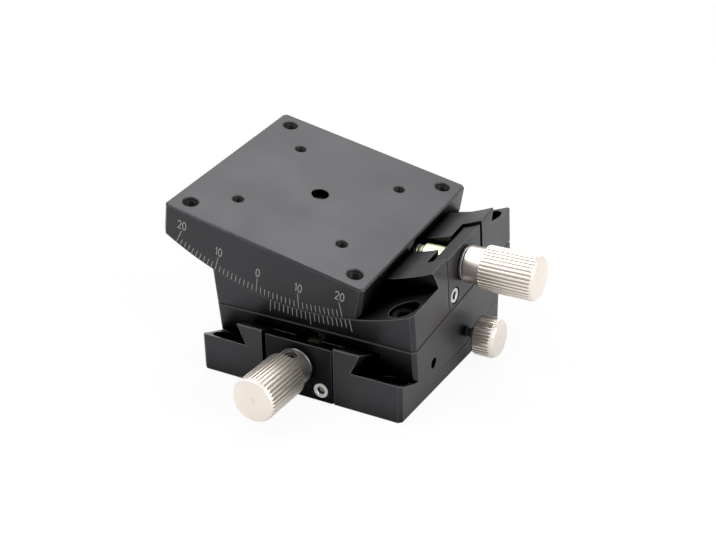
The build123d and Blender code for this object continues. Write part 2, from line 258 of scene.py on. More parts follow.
# what turned pieces have unless their own finish says otherwise
turnedFinish = {
    "metallic": 1.0, "ior": 1.5, "lineDepth": 0.008,
    # the near-black colour below is painted shade in grooves, sockets and hollows, mixed in up to cavityShare
    "cavityShade": (0.02, 0.018, 0.016, 1), "cavityReach": 1.6, "cavityStart": 0.6, "cavityShare": 0.9,
}
turnedFinishes = {
    "platedKnob": {
        "deep": (0.76, 0.69, 0.62, 1), "pale": (0.90, 0.83, 0.75, 1), "rough": (0.28, 0.40), "pitch": 0.10,
        "cavityStart": 0.88},
    "platedClamp": {
        "deep": (0.73, 0.66, 0.59, 1), "pale": (0.88, 0.81, 0.73, 1), "rough": (0.18, 0.30), "pitch": 0.10,
        "cavityStart": 0.95},
    "screwSteel": {
        "deep": (0.50, 0.49, 0.47, 1), "pale": (0.68, 0.67, 0.65, 1), "rough": (0.22, 0.36), "pitch": 0.07,
        "cavityStart": 0.95},
    "groundSteel": {
        "deep": (0.52, 0.51, 0.49, 1), "pale": (0.66, 0.65, 0.63, 1), "rough": (0.18, 0.30), "pitch": 0.05},
    "turnedBrass": {
        "deep": (0.66, 0.64, 0.40, 1), "pale": (0.84, 0.83, 0.58, 1), "rough": (0.26, 0.38), "pitch": 0.09},
    "blackOxide": {
        "deep": (0.012, 0.012, 0.013, 1), "pale": (0.028, 0.028, 0.030, 1), "rough": (0.34, 0.48),
        "pitch": 0.08, "metallic": 0.0},
    # thread linings: near-black colours as painted shade down the tapped holes
    "shadedThread": {
        "deep": (0.002, 0.002, 0.002, 1), "pale": (0.05, 0.05, 0.05, 1), "rough": (0.25, 0.35),
        "pitch": 0.08, "metallic": 0.0, "ior": 1.22,
        "cavityShade": (0.001, 0.001, 0.001, 1), "cavityReach": 0.6, "cavityStart": 1.0},
    # joining screws down in their counterbores: near-black colours as painted shade
    "shadedSunkScrew": {
        "deep": (0.003, 0.003, 0.003, 1), "pale": (0.008, 0.008, 0.008, 1), "rough": (0.50, 0.60),
        "pitch": 0.08},
}
milledFinish = {
    "deep": (0.66, 0.50, 0.22, 1), "pale": (0.84, 0.68, 0.36, 1), "rough": (0.22, 0.38),
    "grain": 0.9, "cloud": 5.0, "grainDepth": 0.015, "stretch": (1.0, 9.0, 1.0),
}
markFinish = {
    "deep": (0.26, 0.26, 0.27, 1), "pale": (0.50, 0.50, 0.50, 1), "rough": (0.55, 0.75),
    "grain": 0.12, "cloud": 1.2, "grainDepth": 0.01,
}


def blackAnodised(name, look):
    material, tree, shader = newMaterial(name, 0.0, look["ior"])
    place = onObject(tree)
    grain = placedGroup(tree, blastedGrain, {"Vector": place, "Size": look["grain"], "Cloud": look["cloud"]})
    edges = placedGroup(tree, wornAndHighlitEdges, {
        "Vector": place, "Width": look["edgeWidth"], "Amount": look["edgeAmount"]})
    flat = mixColours(tree, grain["Clouds"], look["deep"], look["pale"])
    # sharp edges lighter: partly wear, partly painted highlight
    wornAndHighlit = mixColours(tree, edges["Mask"], flat, look["edge"])
    # painted shade: where hollows close in, the colour turns near black and the gloss goes
    cavityShade = placedGroup(tree, paintedCavityShade, {"Reach": look["cavityReach"], "Start": look["cavityStart"]})
    tree.links.new(mixColours(tree, cavityShade["Mask"], wornAndHighlit, look["cavityShade"]), shader.inputs["Base Color"])
    tree.links.new(cavityShade["Mask"], shader.inputs["Metallic"])  # takes the gloss off, down to the colour
    tree.links.new(spreadOver(tree, grain["Clouds"], *look["rough"]), shader.inputs["Roughness"])
    shader.inputs["Specular Tint"].default_value = look["sheenTint"]
    bumped(tree, shader, grain["Speckle"], strength=0.25, depth=look["grainDepth"],
           edgeRadius=look["edgeRound"])
    return material


def turnedMetal(name):
    look = dict(turnedFinish, **turnedFinishes[name])
    material, tree, shader = newMaterial(name, look["metallic"], look["ior"])
    onPiece = addNode(tree, "ShaderNodeUVMap", uv_map="turned").outputs[0]
    lines = placedGroup(tree, turningLines, {"Vector": onPiece, "Pitch": look["pitch"]})
    grain = placedGroup(tree, blastedGrain, {"Vector": onObject(tree), "Size": 0.35, "Cloud": 6.0})
    share = addMath(tree, "ADD", addMath(tree, "MULTIPLY", lines["Lines"], 0.6),
                    addMath(tree, "MULTIPLY", grain["Clouds"], 0.4))
    colour = mixColours(tree, share, look["deep"], look["pale"])
    # painted shade: grooves, sockets and hollows turn near black
    cavityShade = placedGroup(tree, paintedCavityShade, {"Reach": look["cavityReach"], "Start": look["cavityStart"]})
    shade = addMath(tree, "MULTIPLY", cavityShade["Mask"], look["cavityShare"])
    tree.links.new(mixColours(tree, shade, colour, look["cavityShade"]), shader.inputs["Base Color"])
    tree.links.new(spreadOver(tree, lines["Chatter"], *look["rough"]), shader.inputs["Roughness"])
    bumped(tree, shader, lines["Lines"], strength=0.3, depth=look["lineDepth"])
    return material


def milledBrass():
    look = milledFinish
    material, tree, shader = newMaterial("milledBrass", 1.0)
    stretched = addNode(tree, "ShaderNodeMapping", {"Vector": onObject(tree), "Scale": look["stretch"]})
    grain = placedGroup(tree, blastedGrain, {
        "Vector": stretched.outputs[0], "Size": look["grain"], "Cloud": look["cloud"]})
    tree.links.new(mixColours(tree, grain["Clouds"], look["deep"], look["pale"]), shader.inputs["Base Color"])
    tree.links.new(spreadOver(tree, grain["Speckle"], *look["rough"]), shader.inputs["Roughness"])
    bumped(tree, shader, grain["Speckle"], strength=0.25, depth=look["grainDepth"])
    return material


def engravedWhite():
    look = markFinish
    material, tree, shader = newMaterial("engravedWhite", 0.0)
    grain = placedGroup(tree, blastedGrain, {
        "Vector": onObject(tree), "Size": look["grain"], "Cloud": look["cloud"]})
    burnt = mixColours(tree, grain["Speckle"], look["deep"], look["pale"])
    tree.links.new(burnt, shader.inputs["Base Color"])
    tree.links.new(spreadOver(tree, grain["Clouds"], *look["rough"]), shader.inputs["Roughness"])
    bumped(tree, shader, grain["Speckle"], strength=0.2, depth=look["grainDepth"])
    return material


finish = {
    "blackAnodised": blackAnodised("blackAnodised", blackFinish),
    "shadedBlackPlate": blackAnodised("shadedBlackPlate", shadedPlateFinish),
    "dullShadedPlate": blackAnodised("dullShadedPlate", dullShadedPlateFinish),
    "engravedWhite": engravedWhite(),
    "milledBrass": milledBrass(),
}
finish.update({name: turnedMetal(name) for name in turnedFinishes})
print("finishes made:", len(finish))


def smoothed(mesh, sharp=32.0):
    mesh.shade_smooth()
    mesh.set_sharp_from_angle(angle=math.radians(sharp))


def closeUp(mesh):
    shape = bmesh.new()
    shape.from_mesh(mesh)
    bmesh.ops.remove_doubles(shape, verts=shape.verts, dist=1e-7)
    bmesh.ops.dissolve_degenerate(shape, edges=shape.edges, dist=1e-8)
    bmesh.ops.recalc_face_normals(shape, faces=shape.faces)
    shape.to_mesh(mesh)
    shape.free()
    smoothed(mesh)


def placedPoints(points, place):
    # from a stage's millimetres to the world's metres
    flat = points.reshape(-1, 3)
    return (np.column_stack([flat, np.ones(len(flat))]) @ place.T)[:, :3] * millimetre


def roundX(along, radius, angle):
    # distance along X, radius and angle as points, rows x columns x 3
    along = np.broadcast_to(along, radius.shape)
    return np.stack([along, radius * np.cos(angle), radius * np.sin(angle)], axis=-1)


def meshOf(name, points, place, wrapRows=False):
    # points is rows x columns x 3 in millimetres; the columns close on themselves. Each quad joins a
    # point, the next in its row and the two in the next row. U is the share of the way round and V
    # the distance along the rows.
    rows, columns = points.shape[:2]
    index = np.arange(rows * columns).reshape(rows, columns)
    right = np.roll(index, -1, axis=1)
    last = rows if wrapRows else rows - 1
    down = np.roll(index, -1, axis=0)[:last]
    downRight = np.roll(right, -1, axis=0)[:last]
    quads = np.stack([index[:last], right[:last], downRight, down], axis=-1).reshape(-1, 4)
    steps = np.linalg.norm(np.diff(points.mean(axis=1), axis=0), axis=1)
    spokes = np.abs(np.diff(np.linalg.norm(points[:, 0, 1:], axis=1)))
    distance = np.concatenate([[0.0], np.cumsum(np.hypot(steps, spokes))])
    distance = np.append(distance, distance[-1])
    turn = np.arange(columns + 1) / columns
    u = np.stack([turn[:-1], turn[1:], turn[1:], turn[:-1]], axis=-1)
    v = np.stack([distance[:last], distance[:last], distance[1:last + 1], distance[1:last + 1]], axis=-1)
    uv = np.stack(np.broadcast_arrays(u[None], v[:, None]), axis=-1)
    mesh = bpy.data.meshes.new(name)
    mesh.from_pydata(placedPoints(points, place), [], quads)
    mesh.uv_layers.new(name="turned").data.foreach_set("uv", uv.ravel())
    closeUp(mesh)
    return mesh


def softCorners(outline, reach, steps=3):
    # each inner corner P of the outline becomes A(1-t)^2 + 2Pt(1-t) + Bt^2, with A and B on its
    # two sides, reach away or nearly half the side
    outline = np.array(outline, float)
    corner = outline[1:-1]
    toBefore, toAfter = outline[:-2] - corner, outline[2:] - corner
    longBefore = np.linalg.norm(toBefore[:, :2], axis=1, keepdims=True)
    longAfter = np.linalg.norm(toAfter[:, :2], axis=1, keepdims=True)
    start = corner + toBefore * np.minimum(reach / longBefore, 0.45)
    end = corner + toAfter * np.minimum(reach / longAfter, 0.45)
    t = np.linspace(0, 1, steps + 1)[None, :, None]
    curve = start[:, None] * (1 - t) ** 2 + corner[:, None] * 2 * t * (1 - t) + end[:, None] * t ** 2
    return np.vstack([outline[:1], curve.reshape(-1, outline.shape[1]), outline[-1:]])


def newPiece(name, mesh):
    piece = bpy.data.objects.new(name, mesh)
    bpy.context.scene.collection.objects.link(piece)
    return piece


def turned(name, outline, place, sides=48, reach=0.08, ribs=None):
    # outline rows are distance along X, radius, and share of a hexagon (its corners at that radius).
    # The hexagon's radius is R cos30 / cos(angle within its side), and ribs cut V grooves to
    # R - depth x (1 - |phase - 1/2| / half width) where the outline is out that far.
    rows = [row if len(row) == 3 else (*row, 0.0) for row in outline]
    along, radius, hexShare = softCorners(rows, reach).T[:, :, None]
    angle = np.arange(sides) * 2 * math.pi / sides
    within = np.mod(angle, math.pi / 3) - math.pi / 6
    hexFactor = math.cos(math.pi / 6) / np.cos(within)
    radius = radius * (1 - hexShare + hexShare * hexFactor[None])
    if ribs:
        phase = np.mod(angle * ribs["count"] / (2 * math.pi), 1.0)
        cut = np.clip(1 - np.abs(phase - 0.5) / ribs["halfWidth"], 0, 1) * ribs["depth"]
        ribbed = (along >= ribs["start"]) & (along <= ribs["end"])
        radius = np.where(ribbed, np.minimum(radius, ribs["radius"] - cut[None]), radius)
    return newPiece(name, meshOf(name, roundX(along, radius, angle), place))


def settle(piece, body, finishName, slot, *nodes):
    # gives a piece its finish and the body it moves with, and hides the nodes it stands in for
    piece.data.materials.clear()
    piece.data.materials.append(finish[finishName])
    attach(piece, body)
    if nodes:
        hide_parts(*nodes)


def joined(name, pieces):
    # several finished meshes as one piece
    shape = bmesh.new()
    for piece in pieces:
        shape.from_mesh(piece.data)
        spare = piece.data
        bpy.data.objects.remove(piece)
        bpy.data.meshes.remove(spare)
    mesh = bpy.data.meshes.new(name)
    shape.to_mesh(mesh)
    shape.free()
    smoothed(mesh)
    return newPiece(name, mesh)


def bore(piece, cutter):
    # takes the cutter's shape out of the piece
    cut = piece.modifiers.new("bore", "BOOLEAN")
    cut.object = cutter
    cut.solver = "EXACT"
    graph = bpy.context.evaluated_depsgraph_get()
    mesh = bpy.data.meshes.new_from_object(piece.evaluated_get(graph))
    piece.modifiers.clear()
    piece.data = mesh
    bpy.data.objects.remove(cutter)
    smoothed(mesh)


setScrew = {"radius": 1.5, "key": 0.87, "keyDepth": 1.2, "keyEnd": 1.5}


def setScrewOutline(point, end, edge):
    # the point's rows come first, and the socket opens at the end, whose edge is broken
    size = setScrew
    return [
        *point, (end - edge, size["radius"]), (end, size["radius"] - edge), (end, size["key"], 1.0),
        (end - size["keyDepth"], size["key"], 1.0), (end - size["keyEnd"], 0.0),
    ]


sidesPerRib = 7  # of a ribbed knob's mesh
fineKnob = {
    "start": 31.0, "length": 14.6, "radius": 6.0, "bore": 2.02, "boreDepth": 14.0,
    "collarRadius": 5.0, "collarLength": 5.1, "collarEdge": 0.3,
    "bevel": 0.9, "dimple": 0.9, "dimpleDepth": 0.5,
    "ribs": {"count": 36, "halfWidth": 0.25, "depth": 0.46},
}
knobScrew = {
    "hole": (3.0, 7.0, 1.55),  # from here to there off the knob's axis, and its radius
    "point": [(2.0, 0.0), (2.0, 1.2), (2.3, 1.5)],
    "end": 4.4, "edge": 0.25,
    "pastMiddle": 0.4,  # off the middle of the collar
    "turn": {"lower": -10.0, "upper": 205.0},  # degrees from straight up
}


def fineKnobPiece(level):
    size = fineKnob
    step = size["collarLength"]
    end = step + size["length"]
    outline = [
        (size["boreDepth"], 0.0), (size["boreDepth"], size["bore"]), (0.0, size["bore"]),
        (0.0, size["collarRadius"] - size["collarEdge"]), (size["collarEdge"], size["collarRadius"]),
        (step, size["collarRadius"]), (step, size["radius"]), (end - size["bevel"], size["radius"]),
        (end - size["bevel"] * 0.6, size["radius"] - size["bevel"] * 0.22),
        (end, size["radius"] - size["bevel"] * 0.55), (end, size["dimple"]), (end - size["dimpleDepth"], 0.0),
    ]
    # the ribs start a hair early, to take in the step's own points
    ribs = dict(size["ribs"], radius=size["radius"], start=step - 0.01, end=end)
    place = stagePlace(level, False) @ moving(size["start"], 0, stageSizes["wormHeight"])
    sides = ribs["count"] * sidesPerRib
    knob = turned(level + "FineKnob", outline, place, sides, reach=0.1, ribs=ribs)
    # the set screw's hole looks along X until it is turned up and round
    toMiddle = moving(step / 2 + knobScrew["pastMiddle"], 0, 0)
    toHole = place @ toMiddle @ turning("X", knobScrew["turn"][level]) @ turning("Y", -90)
    inner, outer, radius = knobScrew["hole"]
    hole = [(inner, 0.0), (inner, radius), (outer, radius), (outer, 0.0)]
    bore(knob, turned("hole", hole, toHole, sides=32))
    settle(knob, bodyOf[level]["worm"], "platedKnob", "knob_steel", level + "_worm_knob")
    outline = setScrewOutline(knobScrew["point"], knobScrew["end"], knobScrew["edge"])
    screw = turned(level + "KnobSetScrew", outline, toHole, sides=36, reach=0.05)
    settle(screw, bodyOf[level]["worm"], "blackOxide", "black_steel", level + "_knob_set_screw")


clampKnob = {
    "stand": 33.3, "radius": 5.5, "length": 6.2, "bore": 1.5, "hubRadius": 2.4, "hubLength": 1.2,
    "edge": 0.4, "bevel": 1.3,
    "dimple": (1.2, 0.6, 0.25),  # radius at the face, radius at the bottom, depth
    "ribs": {"count": 36, "halfWidth": 0.34, "depth": 0.34},
}
clampScrew = {
    "start": 21.6, "inKnob": 3.0, "radius": 1.5, "pitch": 0.5, "depth": 0.27,
    "fade": 0.3, "endDrop": 0.25,  # the ends' fade along, and how much thinner they are
}


def clampPieces(level):
    size = clampKnob
    height = arcHeight(stageSizes["clampRadius"], 0)
    place = stagePlace(level, True) @ moving(0, 0, height) @ turning("Z", 90)
    start, end = size["stand"], size["stand"] + size["length"]
    middle = start + size["length"] / 2
    opening, bottom, depth = size["dimple"]
    outline = [
        (middle, 0.0), (middle, size["bore"]), (start - size["hubLength"], size["bore"]),
        (start - size["hubLength"], size["hubRadius"]), (start, size["hubRadius"]),
        (start, size["radius"] - size["edge"]), (start + size["edge"], size["radius"]),
        (end - size["bevel"], size["radius"]),
        (end - size["bevel"] * 0.5, size["radius"] - size["bevel"] * 0.2),
        (end, size["radius"] - size["bevel"] * 0.55),
        (end, opening), (end - depth, bottom), (end - depth, 0.0),
    ]
    ribs = dict(size["ribs"], radius=size["radius"], start=start - 0.01, end=end)
    sides = ribs["count"] * sidesPerRib
    knob = turned(level + "ClampKnob", outline, place, sides, reach=0.12, ribs=ribs)
    settle(knob, bodyOf[level]["clamp"], "platedClamp", "knob_steel", level + "_clamp_knob")
    screw = threadedRod(level + "ClampScrew", place, clampScrew, start + clampScrew["inKnob"])
    settle(screw, bodyOf[level]["clamp"], "blackOxide", "black_steel", level + "_clamp_screw")


def threadedRod(name, place, size, end, sides=32):
    # radius = crest - depth x wave(distance / pitch - turn), the wave a trapezium between 0 and 1,
    # faded out at both ends
    along = np.arange(size["start"], end, size["pitch"] / 8)[:, None]
    angle = np.arange(sides)[None] * 2 * math.pi / sides
    phase = np.mod(along / size["pitch"] - angle / (2 * math.pi), 1.0)
    wave = np.clip(np.abs(phase - 0.5) * 3.2 - 0.4, 0, 1)
    ends = np.clip(np.minimum(along - size["start"], end - along) / size["fade"], 0, 1)
    rings = roundX(along, size["radius"] - size["depth"] * wave - size["endDrop"] * (1 - ends), angle)
    first, final = np.zeros((1, sides, 3)), np.zeros((1, sides, 3))
    first[..., 0], final[..., 0] = along[0, 0], along[-1, 0]
    return newPiece(name, meshOf(name, np.concatenate([first, rings, final]), place))


for level in levels:
    fineKnobPiece(level)
    clampPieces(level)
print("knobs made")


wormSizes = {
    "start": -26.0, "tail": 1.2, "neck": -17.5, "core": 1.45, "crest": 2.0, "threadEnd": 8.6, "pitch": 1.571,
    "collar": (15.5, 16.7, 2.4),  # from, to and radius
    "shaft": 2.0, "end": 45.0,
    "runOut": 0.1,  # from the thread's end to the plain core
}


def wormPiece(level, sides=48):
    # plain turned lengths, and between the thread's ends a right-hand thread: radius = core +
    # (crest - core) x wave(distance / pitch - turn), the wave a trapezium
    size = wormSizes
    place = stagePlace(level, False) @ moving(0, 0, stageSizes["wormHeight"])
    threadEnd = size["threadEnd"]
    angle = np.arange(sides)[None] * 2 * math.pi / sides
    middle = np.arange(-threadEnd, threadEnd, size["pitch"] / 12)[:, None]
    phase = np.mod(middle / size["pitch"] - angle / (2 * math.pi), 1.0)
    wave = np.clip(1.25 - np.abs(phase - 0.5) * 3.6, 0, 1)
    ends = np.clip((threadEnd - np.abs(middle)) / 0.6, 0, 1)
    thread = size["core"] + (size["crest"] - size["core"]) * wave * ends
    low, high, collar = size["collar"]
    before = softCorners([
        (size["start"], 0.0), (size["start"], size["tail"]), (size["neck"], size["tail"]),
        (size["neck"], size["core"]), (-threadEnd - size["runOut"], size["core"])], reach=0.08)
    after = softCorners([
        (threadEnd + size["runOut"], size["core"]), (low, size["core"]), (low, collar), (high, collar),
        (high, size["shaft"]), (size["end"], size["shaft"]), (size["end"], 0.0)], reach=0.08)
    along = np.concatenate([before[:, 0], middle[:, 0], after[:, 0]])[:, None]
    radius = np.concatenate([
        np.broadcast_to(before[:, 1:], (len(before), sides)), thread,
        np.broadcast_to(after[:, 1:], (len(after), sides))])
    name = level + "WormShaft"
    worm = newPiece(name, meshOf(name, roundX(along, radius, angle), place))
    settle(worm, bodyOf[level]["worm"], "groundSteel", "worm_steel", level + "_worm")


capScrews = {
    "m4": {"radius": 2.0, "head": 3.5, "height": 4.0, "key": 1.73},
    "m25": {"radius": 1.25, "head": 2.25, "height": 2.5, "key": 1.15},
}


def capScrew(name, kind, place, reach):
    # the head stands on X = 0 and the shank runs to minus X; the tip, the head's rim and the
    # socket's mouth and floor are shares of the screw's sizes
    size = capScrews[kind]
    head, height = size["head"], size["height"]
    outline = [
        (-reach, 0.0), (-reach, size["radius"] * 0.8), (-reach + 0.3, size["radius"]), (0.0, size["radius"]),
        (0.0, head - 0.1), (0.1, head), (height - head * 0.12, head), (height, head * 0.88),
        (height, size["key"] * 1.12), (height - 0.2, size["key"], 1.0), (height * 0.45, size["key"], 1.0),
        (height * 0.32, 0.0),
    ]
    return turned(name, outline, place, sides=60, reach=0.09)


plateScrews = {"x": 27.4, "y": 6.7, "z": 3.2, "reach": 7.2}


def plateScrewPieces(level):
    size = plateScrews
    pair = []
    for side in (-1, 1):
        place = stagePlace(level, False) @ moving(size["x"], side * size["y"], size["z"])
        pair.append(capScrew("screw", "m25", place, size["reach"]))
    screws = joined(level + "PlateScrews", pair)
    settle(screws, bodyOf[level]["base"], "screwSteel", "screw_steel", level + "_plate_screws")


wormBush = {
    "bore": 2.05, "nose": (16.8, 18.1, 2.3), "bodyStart": 18.7, "radius": 3.1,
    "flange": (24.6, 25.2, 3.65), "end": 29.8, "edge": 0.2,  # nose and flange: from, to and radius
}
thrustWasher = {"bore": 2.05, "radius": 4.7, "start": 30.0, "end": 30.9, "edge": 0.15}


def bushAndWasher(level):
    place = stagePlace(level, False) @ moving(0, 0, stageSizes["wormHeight"])
    size = wormBush
    (start, noseEnd, nose), (low, high, flange) = size["nose"], size["flange"]
    end, edge, radius = size["end"], size["edge"], size["radius"]
    outline = [
        (start, size["bore"]), (start, nose), (noseEnd, nose), (size["bodyStart"], radius),
        (low, radius), (low, flange), (high, flange), (high, radius),
        (end - edge, radius), (end, radius - edge), (end, size["bore"]), (start, size["bore"]),
    ]
    bush = turned(level + "WormBush", outline, place, sides=64, reach=0.06)
    settle(bush, bodyOf[level]["base"], "turnedBrass", "brass", level + "_worm_bush")
    size = thrustWasher
    start, end, edge, radius = size["start"], size["end"], size["edge"], size["radius"]
    outline = [
        (start, size["bore"]), (start, radius - edge), (start + edge, radius),
        (end - edge, radius), (end, radius - edge), (end, size["bore"]), (start, size["bore"]),
    ]
    washer = turned(level + "ThrustWasher", outline, place, sides=64, reach=0.05)
    settle(washer, bodyOf[level]["base"], "screwSteel", "screw_steel", level + "_thrust_washer")


segmentScrew = {"height": 15.0, "reach": 2.6}
gibScrews = {
    "x": 20.3, "end": 26.0, "edge": 0.2,
    "point": [(20.2, 0.0), (20.2, 0.7), (20.3, 0.8), (21.1, 0.8), (21.3, 1.5)],
}


def tableScrewPieces(level):
    onTable = stagePlace(level, True)
    toSegment = onTable @ moving(0, 0, segmentScrew["height"]) @ turning("Y", -90)
    segment = capScrew(level + "SegmentScrew", "m25", toSegment, segmentScrew["reach"])
    settle(segment, bodyOf[level]["table"], "blackOxide", "black_steel", level + "_segment_screw")
    outline = setScrewOutline(gibScrews["point"], gibScrews["end"], gibScrews["edge"])
    pair = []
    for x in (-gibScrews["x"], gibScrews["x"]):
        place = onTable @ moving(x, 0, arcHeight(stageSizes["clampRadius"], x)) @ turning("Z", 90)
        pair.append(turned("screw", outline, place, sides=36, reach=0.05))
    screws = joined(level + "GibScrews", pair)
    settle(screws, bodyOf[level]["table"], "blackOxide", "black_steel", level + "_gib_screws")


joiningScrews = {"height": 3.2, "reach": 9.6}


def joiningScrewPieces():
    # four heads in the upper base's corners, down into the lower table
    far = stageSizes["boltPlace"]
    corners = []
    for x in (-far, far):
        for y in (-far, far):
            place = stagePlace("upper", False) @ moving(x, y, joiningScrews["height"]) @ turning("Y", -90)
            corners.append(capScrew("corner", "m4", place, joiningScrews["reach"]))
    settle(joined("joiningScrews", corners), "mid", "shadedSunkScrew", "black_steel", "joining_screws")


for level in levels:
    wormPiece(level)
    plateScrewPieces(level)
    bushAndWasher(level)
    tableScrewPieces(level)
joiningScrewPieces()
print("worms and screws made")


scaleSizes = {
    "face": -stageSizes["half"],
    "proud": 0.03,  # how far the marks stand off the face
    "sunk": 0.01,  # how far the numbers' strokes reach into it
    "lineWidth": 0.15,
    "numeralHeight": 2.6, "strokeWidth": 0.23,
    "numeralNarrow": 0.82,
    "numeralGap": 0.5,  # from a long line's end to the number's foot
    "digitGap": 0.15,  # share of the height
    "tableOuter": 74.5, "tableShort": 72.5, "tableLong": 70.1,
    "baseInner": 75.2, "baseShort": 77.5, "baseLong": 78.7,
    "tableReach": 20, "baseReach": 9, "numbered": 10,  # degrees
}


def engravedLines(name, place, lines):
    # each line is a thin bar on the -Y face from one radius to another at its angle; a positive
    # angle lies towards +X
    angle, inner, outer = np.radians([line[0] for line in lines]), *np.array(lines)[:, 1:].T
    halfWide = scaleSizes["lineWidth"] / 2
    zero = np.zeros_like(angle)
    outward = np.stack([np.sin(angle), zero, -np.cos(angle)], axis=-1)
    across = np.stack([np.cos(angle), zero, np.sin(angle)], axis=-1) * halfWide
    middle = np.array([0, scaleSizes["face"], stageSizes["centreHeight"]])
    near = middle + outward * inner[:, None]
    far = middle + outward * outer[:, None]
    back = np.stack([near - across, near + across, far + across, far - across], axis=1)
    front = back - np.array([0, scaleSizes["proud"], 0])
    points = np.concatenate([back, front], axis=1)
    box = np.array([[0, 1, 2, 3], [7, 6, 5, 4], [0, 4, 5, 1], [1, 5, 6, 2], [2, 6, 7, 3], [3, 7, 4, 0]])
    faces = (box[None] + 8 * np.arange(len(lines))[:, None, None]).reshape(-1, 4)
    mesh = bpy.data.meshes.new(name)
    mesh.from_pydata(placedPoints(points, place), [], faces)
    shape = bmesh.new()
    shape.from_mesh(mesh)
    bmesh.ops.recalc_face_normals(shape, faces=shape.faces)
    shape.to_mesh(mesh)
    shape.free()
    return newPiece(name, mesh)


def digitPaths(digit):
    # middle lines of a digit one unit high, each with whether it closes on itself, and its width
    if digit == "0":
        turn = np.linspace(0, 2 * math.pi, 28, endpoint=False)
        return [(np.stack([0.27 + 0.24 * np.cos(turn), 0.5 + 0.46 * np.sin(turn)], axis=-1), True)], 0.54
    if digit == "1":
        return [(np.array([(0.02, 0.76), (0.2, 0.96), (0.2, 0.04)]), False)], 0.28
    turn = np.radians(np.linspace(168, -38, 16))
    bow = np.stack([0.26 + 0.24 * np.cos(turn), 0.71 + 0.25 * np.sin(turn)], axis=-1)
    return [(np.concatenate([bow, [(0.03, 0.04), (0.52, 0.04)]]), False)], 0.54


def strokeRibbon(path, closed, place):
    # a bar of square section along the path: each point moves out along the mean of its two sides'
    # normals, divided by the cosine of half the turn, so that the bar keeps its width
    after = np.roll(path, -1, axis=0) - path
    before = path - np.roll(path, 1, axis=0)
    if not closed:
        after[-1], before[0] = before[-1], after[0]
    after = after / np.linalg.norm(after, axis=1, keepdims=True)
    before = before / np.linalg.norm(before, axis=1, keepdims=True)
    mean = after + before
    mean = mean / np.linalg.norm(mean, axis=1, keepdims=True)
    reach = scaleSizes["strokeWidth"] / 2 / np.maximum((mean * after).sum(axis=1, keepdims=True), 0.5)
    side = np.stack([-mean[:, 1], mean[:, 0]], axis=-1) * reach
    back, front = -scaleSizes["sunk"], scaleSizes["proud"]
    left, right = path + side, path - side
    corners = [(left, back), (right, back), (right, front), (left, front)]
    rings = np.stack([np.column_stack([flat, np.full(len(path), depth)]) for flat, depth in corners], axis=1)
    if not closed:
        first, final = rings[:1].mean(axis=1, keepdims=True), rings[-1:].mean(axis=1, keepdims=True)
        rings = np.concatenate([np.repeat(first, 4, axis=1), rings, np.repeat(final, 4, axis=1)])
    return newPiece("stroke", meshOf("stroke", rings, place, wrapRows=closed))


def numeral(text, degrees, place):
    # a number on the -Y face, upright as the table is, over the end of its long line
    angle = math.radians(degrees)
    radius, tall, gap = scaleSizes["tableLong"], scaleSizes["numeralHeight"], scaleSizes["digitGap"]
    height = stageSizes["centreHeight"] - radius * math.cos(angle) + scaleSizes["numeralGap"] + tall / 2
    stand = np.eye(4)
    stand[:3, 0] = (scaleSizes["numeralNarrow"], 0, 0)
    stand[:3, 1] = (0, 0, 1)
    stand[:3, 2] = (0, -1, 0)
    stand[:3, 3] = (radius * math.sin(angle), scaleSizes["face"], height)
    digits = [digitPaths(digit) for digit in text]
    reached = -(sum(wide for paths, wide in digits) + gap * (len(digits) - 1)) / 2
    strokes = []
    for paths, wide in digits:
        for path, closed in paths:
            strokes.append(strokeRibbon((path + (reached, -0.5)) * tall, closed, place @ stand))
        reached += wide + gap
    return joined("numeral", strokes)


def scalePieces(level):
    size = scaleSizes
    onTable, onBase = stagePlace(level, True), stagePlace(level, False)
    reach, numbered = size["tableReach"], size["numbered"]
    marks = [
        (degrees, size["tableShort"] if degrees % numbered else size["tableLong"], size["tableOuter"])
        for degrees in range(-reach, reach + 1)]
    lines = engravedLines("tableLines", onTable, marks)
    numbers = [
        numeral(str(abs(degrees)), degrees, onTable) for degrees in range(-reach, reach + 1, numbered)]
    settle(joined(level + "TableScale", [lines, *numbers]), bodyOf[level]["table"], "engravedWhite", None)
    reach = size["baseReach"]
    marks = [
        (degrees, size["baseInner"], size["baseShort"] if degrees % reach else size["baseLong"])
        for degrees in range(-reach, reach + 1)]
    settle(engravedLines(level + "BaseScale", onBase, marks), bodyOf[level]["base"], "engravedWhite", None)


for level in levels:
    scalePieces(level)
print("scales made")


# tapped holes of the upper table: a mouth opened to a cone, and the thread
tappedHoles = {
    "large": {
        "place": stageSizes["boltPlace"], "depth": 7.6,
        "wall": 2.0, "crest": 1.66, "mouth": 2.3, "pitch": 0.7},
    "small": {
        "place": 16.0, "depth": 5.1,
        "wall": 1.5, "crest": 1.24, "mouth": 1.72, "pitch": 0.5},
}
# the cone starts inside the wall and ends over the face; the lining's back sinks into the wall, and
# its front stands off it
boreOverlap = {"cone": 0.05, "above": 0.1, "thread": 0.01, "clear": 0.02}


def mouthDepth(size):
    return size["mouth"] - size["wall"] + boreOverlap["cone"]


def mouthCone(place, size):
    flare, above = mouthDepth(size), boreOverlap["above"]
    outline = [
        (-flare, 0.0), (-flare, size["wall"] - boreOverlap["cone"]),
        (above, size["mouth"] + above), (above, 0.0)]
    return turned("cone", outline, place, reach=0.001)


